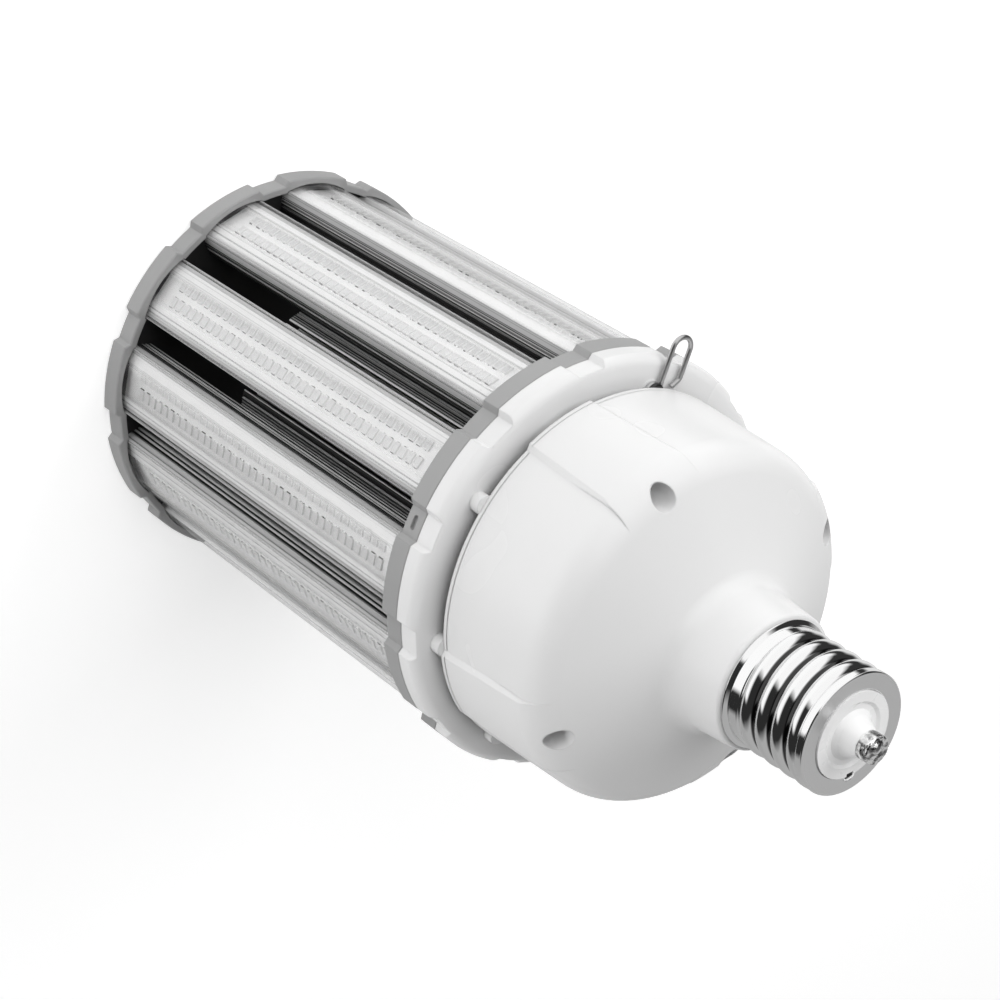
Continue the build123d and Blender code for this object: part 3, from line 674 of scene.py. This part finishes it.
def screw_sleeve():
    """One closed grid: the threaded outside, the turned-in front and the plain inside."""
    angle = np.arange(SLEEVE_COLUMNS) * 2 * math.pi / SLEEVE_COLUMNS
    rows = sleeve_rows(angle)
    points = []
    finish_numbers = []
    for radius, height, finish in rows:
        points += zip(radius * np.cos(angle), radius * np.sin(angle), [SLEEVE_Z + height] * SLEEVE_COLUMNS)
        finish_numbers += [finish] * SLEEVE_COLUMNS
    faces = grid_faces(len(rows), SLEEVE_COLUMNS, close_rows=True)
    finishes = [nickel, thread_nickel_painted_shade, satin_nickel]
    return add_piece("rolled_screw_sleeve", points, faces, finishes,
                     stands_for=("screw_sleeve",), finish_of_face=finish_numbers)


screw_sleeve()

# %% [markdown]
# ## Fin tips
#
# The cross fins of each bar end in thin tips that almost meet those of the next bar, so
# that no light shows through the drum. A tip is a wedge, thinner towards its end. The four
# tips of a bar are one mesh, as they are one extrusion.

# %% Sizes of the fin tips
FIN_LOW_Z = 48.6
FIN_THICKNESS = 1.5
FIN_STEP_OUT = 5.4
FIN_SIDE_GAP = 1.7
TIP_REACH = 1.25
TIP_START = 0.3
ROOT_INSET = 0.1
TIP_INSET = 0.5

bar_low, bar_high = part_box("bar_01")
FIN_BACKS = (bar_low.x / MM, bar_low.x / MM + FIN_STEP_OUT)
FIN_HIGH_Z = bar_high.z / MM
print("backs of the two fins:", [round(back, 2) for back in FIN_BACKS], "mm from the axis")


# %% A point beside a bar
def on_bar(bar, out, side, level):
    """Point by its distance out along a bar's middle, its distance beside that and its level."""
    cos_bar = math.cos(bar * BAR_STEP)
    sin_bar = math.sin(bar * BAR_STEP)
    return (out * cos_bar - side * sin_bar, out * sin_bar + side * cos_bar, level)


print("the fourth bar looks along", [round(c) for c in on_bar(3, 1, 0, 0)])


# %% Fin tips of one bar
def fin_tips(bar):
    """The four tips of one bar."""
    points = []
    faces = []
    for back in FIN_BACKS:
        half_width = back * math.tan(math.pi / BARS) - FIN_SIDE_GAP
        for sign in (-1, 1):
            root = sign * (half_width - TIP_START)
            tip = sign * (half_width + TIP_REACH)
            front = back + FIN_THICKNESS
            section = ((back + ROOT_INSET, root), (back + TIP_INSET, tip), (front - TIP_INSET, tip),
                       (front - ROOT_INSET, root))
            first = len(points)
            for level in (FIN_LOW_Z, FIN_HIGH_Z):
                points += [on_bar(bar, out, side, level) for out, side in section]
            for corner in range(4):
                beside = (corner + 1) % 4
                faces.append((first + corner, first + beside, first + 4 + beside, first + 4 + corner))
            faces.append(tuple(first + corner for corner in range(4)))
            faces.append(tuple(first + 7 - corner for corner in range(4)))
    return add_piece(f"fin_tips_{bar + 1:02d}", points, faces, [aluminium], smooth=False)


for bar in range(BARS):
    fin_tips(bar)

# %% [markdown]
# ## LED packages
#
# Each board carries two rows of small white LED packages, warm white in one row and cool
# white in the other. A package is a moulded frame, 2.8 by 3.5 mm and 0.7 mm high, round a
# shallow window of phosphor, with a fillet of solder at both short ends. There are
# hundreds of them, so one package is described once and repeated along its row. All
# packages of a bar are one mesh.

# %% Sizes of a package
LED_LENGTH = 3.5
LED_WIDTH = 2.8
LED_HEIGHT = 0.7
LED_DRAFT = 0.03
LED_EDGE_DROP = 0.06
LED_EDGE_INSET = 0.1
WINDOW_EDGE = 0.32
WINDOW_DEPTH = 0.12
WINDOW_SLOPE = 0.1
SOLDER_OUT = 0.28
SOLDER_UNDER = 0.05
SOLDER_HEIGHT = 0.3
SOLDER_WIDTH = 2.1
# Places of the finishes in a row's list.
BODY, WINDOW, SOLDER, WARM_WINDOW = 0, 1, 2, 3
print("a package is", LED_LENGTH, "by", LED_WIDTH, "by", LED_HEIGHT, "mm")


# %% Frame and window of a package
def package_ring(height, inset):
    """Four corners at one height above the board, inside the package's outline."""
    across = LED_LENGTH / 2 - inset
    along = LED_WIDTH / 2 - inset
    return [(height, -across, -along), (height, across, -along),
            (height, across, along), (height, -across, along)]


def package_frame():
    """Points, faces and finishes of the frame with its window."""
    points = package_ring(0, 0)
    points += package_ring(LED_HEIGHT - LED_EDGE_DROP, LED_DRAFT)
    points += package_ring(LED_HEIGHT, LED_EDGE_INSET)
    points += package_ring(LED_HEIGHT, WINDOW_EDGE)
    points += package_ring(LED_HEIGHT - WINDOW_DEPTH, WINDOW_EDGE + WINDOW_SLOPE)
    faces = grid_faces(5, 4)
    finishes = [BODY] * len(faces) + [WINDOW]
    return points, faces + [(16, 17, 18, 19)], finishes


print("faces of a frame and its window:", len(package_frame()[1]))


# %% Solder of a package
def led_package():
    """The frame with a wedge of solder at both short ends."""
    points, faces, finishes = package_frame()
    half = SOLDER_WIDTH / 2
    for end in (-1, 1):
        first = len(points)
        outer = end * (LED_LENGTH / 2 + SOLDER_OUT)
        inner = end * (LED_LENGTH / 2 - SOLDER_UNDER)
        points += [(0, outer, -half), (0, outer, half), (SOLDER_HEIGHT, inner, half),
                   (SOLDER_HEIGHT, inner, -half), (0, inner, half), (0, inner, -half)]
        faces += [(first, first + 1, first + 2, first + 3), (first + 1, first + 4, first + 2),
                  (first, first + 3, first + 5)]
        finishes += [SOLDER] * 3
    return points, faces, finishes


package_points, package_faces, package_finishes = led_package()
print("faces of one package:", len(package_faces))

# %% Rows of LED packages
WARM_ROW_ACROSS = -3.9
COOL_ROW_ACROSS = 2.2
FIRST_LED_Z = 14.6
LED_PITCH = 3.74
LEDS_IN_ROW = 37

board_low, board_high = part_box("led_board_01")
BOARD_FACE = board_high.x / MM


def led_rows(bar):
    """All packages of one bar as one mesh."""
    points = []
    faces = []
    finish_numbers = []
    for row_across, window in ((WARM_ROW_ACROSS, WARM_WINDOW), (COOL_ROW_ACROSS, WINDOW)):
        for led in range(LEDS_IN_ROW):
            first = len(points)
            level = FIRST_LED_Z + led * LED_PITCH
            points += [on_bar(bar, BOARD_FACE + height, row_across + across, level + along)
                       for height, across, along in package_points]
            faces += [tuple(first + corner for corner in face) for face in package_faces]
            finish_numbers += [window if finish == WINDOW else finish for finish in package_finishes]
    finishes = [led_body, cool_window, tin_solder, warm_window]
    return add_piece(f"led_packages_{bar + 1:02d}", points, faces, finishes,
                     finish_of_face=finish_numbers, smooth=False)


for bar in range(BARS):
    led_rows(bar)

# %% [markdown]
# ## Centre contact
#
# The contact is a small button. The lead wire comes up through it and is soldered over,
# and the solder has run down its side too, which leaves a shiny, off-centre blob and a
# rough, pitted face. The face is a disc of rings whose heights come from a formula: one
# smooth mound for the solder and a few small hollows for the pits.

# %% Soldered face of the contact
MOUND_PLACE = (-1.1, 1.3)
MOUND_R = 2.2
MOUND_HEIGHT = 1.1
MOUND_STEEPNESS = 1.4
PIT_DEPTH = 0.32
# Place and radius of each hollow.
PITS = ((1.2, -1.4, 0.7), (-1.6, -1.5, 0.6), (2.4, 0.6, 0.5), (-0.2, -2.7, 0.5), (0.9, -0.1, 0.45),
        (-2.7, 0.1, 0.5))


def contact_face_height(x, y):
    """Height of the soldered face above the button's plain top."""
    away = (x - MOUND_PLACE[0]) ** 2 + (y - MOUND_PLACE[1]) ** 2
    height = MOUND_HEIGHT * np.exp(-(away / MOUND_R ** 2) ** MOUND_STEEPNESS)
    for pit_x, pit_y, pit_r in PITS:
        height -= PIT_DEPTH * np.exp(-((x - pit_x) ** 2 + (y - pit_y) ** 2) / pit_r ** 2)
    return height


print("top of the mound:", round(float(contact_face_height(*MOUND_PLACE)), 2), "mm")

# %% Side of the contact
CONTACT_R = 4.55
CONTACT_HEIGHT = 4.4
CONTACT_EDGE = 0.8
CONTACT_EDGE_STEPS = 6
FOOT_INSET = 0.15
FOOT_RISE = 0.2

INSULATOR_TOP_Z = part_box("base_insulator")[1].z / MM
BUTTON_TOP_Z = INSULATOR_TOP_Z + CONTACT_HEIGHT


def contact_side():
    """Radius and level of each ring of the side, up to the end of its rounded edge."""
    low_edge = BUTTON_TOP_Z - CONTACT_EDGE
    side = [(CONTACT_R - FOOT_INSET, INSULATOR_TOP_Z), (CONTACT_R, INSULATOR_TOP_Z + FOOT_RISE),
            (CONTACT_R, low_edge)]
    for step in range(1, CONTACT_EDGE_STEPS + 1):
        quarter = step / CONTACT_EDGE_STEPS * math.pi / 2
        side.append((CONTACT_R - CONTACT_EDGE + CONTACT_EDGE * math.cos(quarter),
                     low_edge + CONTACT_EDGE * math.sin(quarter)))
    return side


print("the button's plain top is at", round(BUTTON_TOP_Z, 2), "mm")

# %% Contact as one mesh
CONTACT_COLUMNS = 72
FACE_RINGS = 18
FADE_RINGS = 4


def centre_contact():
    """Side and soldered face in one grid, closed by a point. The face rises from a flat rim."""
    angle = np.arange(CONTACT_COLUMNS) * 2 * math.pi / CONTACT_COLUMNS
    points = []
    for radius, level in contact_side():
        points += zip(radius * np.cos(angle), radius * np.sin(angle), [level] * CONTACT_COLUMNS)
    for ring in range(1, FACE_RINGS):
        radius = (CONTACT_R - CONTACT_EDGE) * (1 - ring / FACE_RINGS)
        x = radius * np.cos(angle)
        y = radius * np.sin(angle)
        fade = min(1.0, ring / FADE_RINGS)
        points += zip(x, y, BUTTON_TOP_Z + fade * contact_face_height(x, y))
    faces = grid_faces(len(points) // CONTACT_COLUMNS, CONTACT_COLUMNS)
    last_row = len(points) - CONTACT_COLUMNS
    points.append((0, 0, BUTTON_TOP_Z + contact_face_height(0.0, 0.0)))
    for column in range(CONTACT_COLUMNS):
        faces.append((last_row + column, last_row + (column + 1) % CONTACT_COLUMNS, len(points) - 1))
    print("contact top", round(max(point[2] for point in points), 2), "mm")
    return add_piece("soldered_centre_contact", points, faces, [tin_solder],
                     stands_for=("centre_contact",))


centre_contact()

# %% [markdown]
# ## Lead wire at the sleeve
#
# The second lead wire comes out of a notch in the insulator and is bent over onto the
# sleeve, where it is soldered. What shows is a short, bright wire end across the dark
# notch. That shade is painted: a black drop fills the notch. The drop is a rounded
# rectangle of rings, each one nearer to the middle and a little higher.

# %% Line through the notch
LEAD_ANGLE = math.radians(283)


def on_lead_line(out, side, level):
    """Point beside the line from the axis through the notch."""
    return (out * math.cos(LEAD_ANGLE) - side * math.sin(LEAD_ANGLE),
            out * math.sin(LEAD_ANGLE) + side * math.cos(LEAD_ANGLE), level)


print("the notch is at", round(math.degrees(LEAD_ANGLE)), "degrees")

# %% Painted shade in the notch
DROP_MIDDLE_R = 14.4
DROP_HALF = 1.6
DROP_DEPTH = 0.6
DROP_RISE = 0.4
DROP_COLUMNS = 40
DROP_RINGS = 8


def squared(wave):
    """A sine or cosine pushed outwards, which turns a circle into a rounded square."""
    return math.copysign(abs(wave) ** 0.5, wave)


def painted_notch_shade_drop():
    """Low rounded black drop that fills the notch, as painted shade."""
    points = []
    for ring in range(DROP_RINGS):
        share = 1 - ring / DROP_RINGS
        level = SLEEVE_TOP_Z - DROP_DEPTH + (DROP_DEPTH + DROP_RISE) * math.sqrt(1 - share ** 4)
        for column in range(DROP_COLUMNS):
            a = 2 * math.pi * column / DROP_COLUMNS
            points.append(on_lead_line(DROP_MIDDLE_R + DROP_HALF * share * squared(math.cos(a)),
                                       DROP_HALF * share * squared(math.sin(a)), level))
    faces = grid_faces(DROP_RINGS, DROP_COLUMNS)
    last_ring = (DROP_RINGS - 1) * DROP_COLUMNS
    faces.append(tuple(last_ring + column for column in range(DROP_COLUMNS)))
    return add_piece("painted_shade_in_notch", points, faces, [black_painted_notch_shade])


painted_notch_shade_drop()

# %% [markdown]
# The wire end is a tube: a ring of points carried along a path, with each ring square to
# it. The ring's first direction comes from the lamp's axis, because the wire lies nearly
# flat across it. A point a little past each end closes the tube.

# %% Lead wire end
LEAD_R = 0.34
LEAD_SIDES = 14
LEAD_PATH = ((14.9, -1.5, 0.0), (14.8, -1.3, 0.45), (14.6, -0.7, 0.62), (14.4, 0.4, 0.62), (14.2, 1.2, 0.55),
             (13.7, 1.5, 0.3))


def lead_end():
    """Tube along the path, whose points are out, to the side and above the sleeve's front."""
    path = [Vector(on_lead_line(out, side, SLEEVE_TOP_Z + rise)) for out, side, rise in LEAD_PATH]
    points = []
    directions = []
    for index, point in enumerate(path):
        along = (path[min(index + 1, len(path) - 1)] - path[max(index - 1, 0)]).normalized()
        side = along.cross(Vector((0, 0, 1))).normalized()
        rise = side.cross(along)
        directions.append(along)
        for step in range(LEAD_SIDES):
            a = 2 * math.pi * step / LEAD_SIDES
            points.append(point + LEAD_R * (math.cos(a) * side + math.sin(a) * rise))
    faces = grid_faces(len(path), LEAD_SIDES)
    for end, sign in ((0, -1), (len(path) - 1, 1)):
        points.append(path[end] + sign * directions[end] * LEAD_R / 2)
        first = end * LEAD_SIDES
        for step in range(LEAD_SIDES):
            faces.append((first + step, first + (step + 1) % LEAD_SIDES, len(points) - 1))
    return add_piece("soldered_lead_end", points, faces, [tinned_wire],
                     stands_for=("sleeve_solder",))


lead_end()

# %% [markdown]
# ## Floor
#
# The photograph is a cut-out on pure white. Here the lamp stands on a pale acrylic sheet
# that glows a little, as a light table does, so it stays almost white and still takes a
# soft shadow. Glossy parts don't mirror the sheet, because in the photograph they mirror
# a studio.

# %% Floor
CLOUD_MM = 60
FLOOR_HALF_M = 4.0
FLOOR_DROP_MM = 0.2

floor_material, floor_tree = new_material("glowing_acrylic_sheet")
cloud = add_node(floor_tree, "ShaderNodeTexNoise", {"Scale": per_metre(CLOUD_MM), "Detail": 2.0},
                 {"Vector": place(floor_tree)})
sheen = add_node(floor_tree, "ShaderNodeMapRange", {"To Min": 0.5, "To Max": 0.6},
                 {"Value": cloud.outputs["Fac"]})
floor_shader = add_node(floor_tree, "ShaderNodeBsdfPrincipled",
                        {"Base Color": linear("#dcdcdc"), "Emission Color": linear("#ffffff"),
                         "Emission Strength": 0.52, "Specular IOR Level": 0.1},
                        {"Roughness": sheen.outputs["Result"]})
show(floor_material, floor_shader)

corners = [(-FLOOR_HALF_M, -FLOOR_HALF_M, 0), (FLOOR_HALF_M, -FLOOR_HALF_M, 0),
           (FLOOR_HALF_M, FLOOR_HALF_M, 0), (-FLOOR_HALF_M, FLOOR_HALF_M, 0)]
floor_mesh = bpy.data.meshes.new("floor")
floor_mesh.from_pydata(corners, [], [(0, 1, 2, 3)])
floor_mesh.materials.append(floor_material)
floor = bpy.data.objects.new("floor", floor_mesh)
floor.location.z = -FLOOR_DROP_MM * MM
floor.visible_glossy = False
bpy.context.scene.collection.objects.link(floor)
print("floor is", 2 * FLOOR_HALF_M, "m wide")

# %% [markdown]
# ## Studio
#
# Bright nickel shows only what is round it, so the studio is drawn first of all for its
# reflection. The photograph's sleeve mirrors wide white cloths, grey walls and the dark
# gaps between them. The world draws that by direction: one band of greys round the lamp
# for what lies below the horizon and one for what lies above, blended between the two.
# Each stop of a band is a share of a turn, counted from +X towards +Y, and the grey that
# is seen there.

# %% Greys round the lamp
LOW_BAND = ((0.00, 0.95), (0.06, 0.9), (0.085, 0.04), (0.12, 0.04), (0.145, 1.25), (0.53, 1.25),
            (0.555, 0.03), (0.64, 0.03), (0.67, 0.45), (0.90, 0.5), (1.0, 0.95))
HIGH_BAND = ((0.0, 0.6), (0.03, 0.04), (0.14, 0.04), (0.18, 1.2), (0.38, 1.2), (0.42, 0.03),
             (0.62, 0.03), (0.68, 0.5), (0.92, 0.52), (0.98, 0.5))


def band(tree, name, stops, turns):
    """Colour ramp with one stop for each pair."""
    ramp = add_node(tree, "ShaderNodeValToRGB", None, {"Fac": turns}, label=name)
    elements = ramp.color_ramp.elements
    while len(elements) < len(stops):
        elements.new(0.5)
    for element, (turn_share, grey) in zip(elements, stops):
        element.position = turn_share
        element.color = (grey, grey, grey, 1.0)
    return ramp.outputs["Color"]


print("studio stops:", len(LOW_BAND), "low and", len(HIGH_BAND), "high")

# %% Studio all round
LOW_ENDS = -0.25
HIGH_STARTS = 0.1
STUDIO_STRENGTH = 0.9

world = bpy.data.worlds.new("soft_studio")
world.use_nodes = True
sky = world.node_tree
sky.nodes.clear()
direction = add_node(sky, "ShaderNodeTexCoord")
parts = add_node(sky, "ShaderNodeSeparateXYZ", None, {"Vector": direction.outputs["Generated"]})
azimuth = add_node(sky, "ShaderNodeMath", None, {0: parts.outputs["Y"], 1: parts.outputs["X"]},
                   operation="ARCTAN2")
turns = add_node(sky, "ShaderNodeMath", {1: 2 * math.pi}, {0: azimuth.outputs[0]}, operation="DIVIDE")
wrapped = add_node(sky, "ShaderNodeMath", None, {0: turns.outputs[0]}, operation="FRACT")
low = band(sky, "low band", LOW_BAND, wrapped.outputs[0])
high = band(sky, "high band", HIGH_BAND, wrapped.outputs[0])
height = add_node(sky, "ShaderNodeMapRange", {"From Min": LOW_ENDS, "From Max": HIGH_STARTS},
                  {"Value": parts.outputs["Z"]})
studio = add_node(sky, "ShaderNodeMix", None, {0: height.outputs["Result"], 6: low, 7: high},
                  data_type="RGBA")
background = add_node(sky, "ShaderNodeBackground", {"Strength": STUDIO_STRENGTH},
                      {"Color": studio.outputs[2]})
add_node(sky, "ShaderNodeOutputWorld", None, {"Surface": background.outputs[0]})
bpy.context.scene.world = world
print("world:", world.name)

# %% [markdown]
# ## Soft lights
#
# Four square softboxes shape the white plastic: two large ones above, and two small ones
# low on the side of the camera, which lift the walls of the housing. They are hidden from
# reflections, so that they don't change what the nickel mirrors. Colours are shown as
# they are, with no film curve, because a product picture keeps its whites white.


# %% Soft lights
def softbox(name, place_mm, aim_mm, size_mm, watts):
    """Square area light that faces a point."""
    data = bpy.data.lights.new(name, "AREA")
    data.shape = "SQUARE"
    data.size = size_mm * MM
    data.energy = watts
    light = bpy.data.objects.new(name, data)
    light.location = Vector(place_mm) * MM
    aim = Vector(aim_mm) * MM - light.location
    light.rotation_euler = aim.to_track_quat("-Z", "Y").to_euler()
    light.visible_glossy = False
    bpy.context.scene.collection.objects.link(light)
    print(name, "gives", watts, "W")
    return light


LAMP_MIDDLE_MM = (0, 0, 150)
DRUM_MIDDLE_MM = (0, 0, 80)
softbox("key", (-450, 600, 1000), LAMP_MIDDLE_MM, size_mm=700, watts=3)
softbox("rim", (500, 700, 900), LAMP_MIDDLE_MM, size_mm=700, watts=5)
softbox("fill", (-800, -600, 130), DRUM_MIDDLE_MM, size_mm=300, watts=2.3)
softbox("front", (-950, 60, 200), DRUM_MIDDLE_MM, size_mm=300, watts=0.8)
bpy.context.scene.view_settings.view_transform = "Standard"
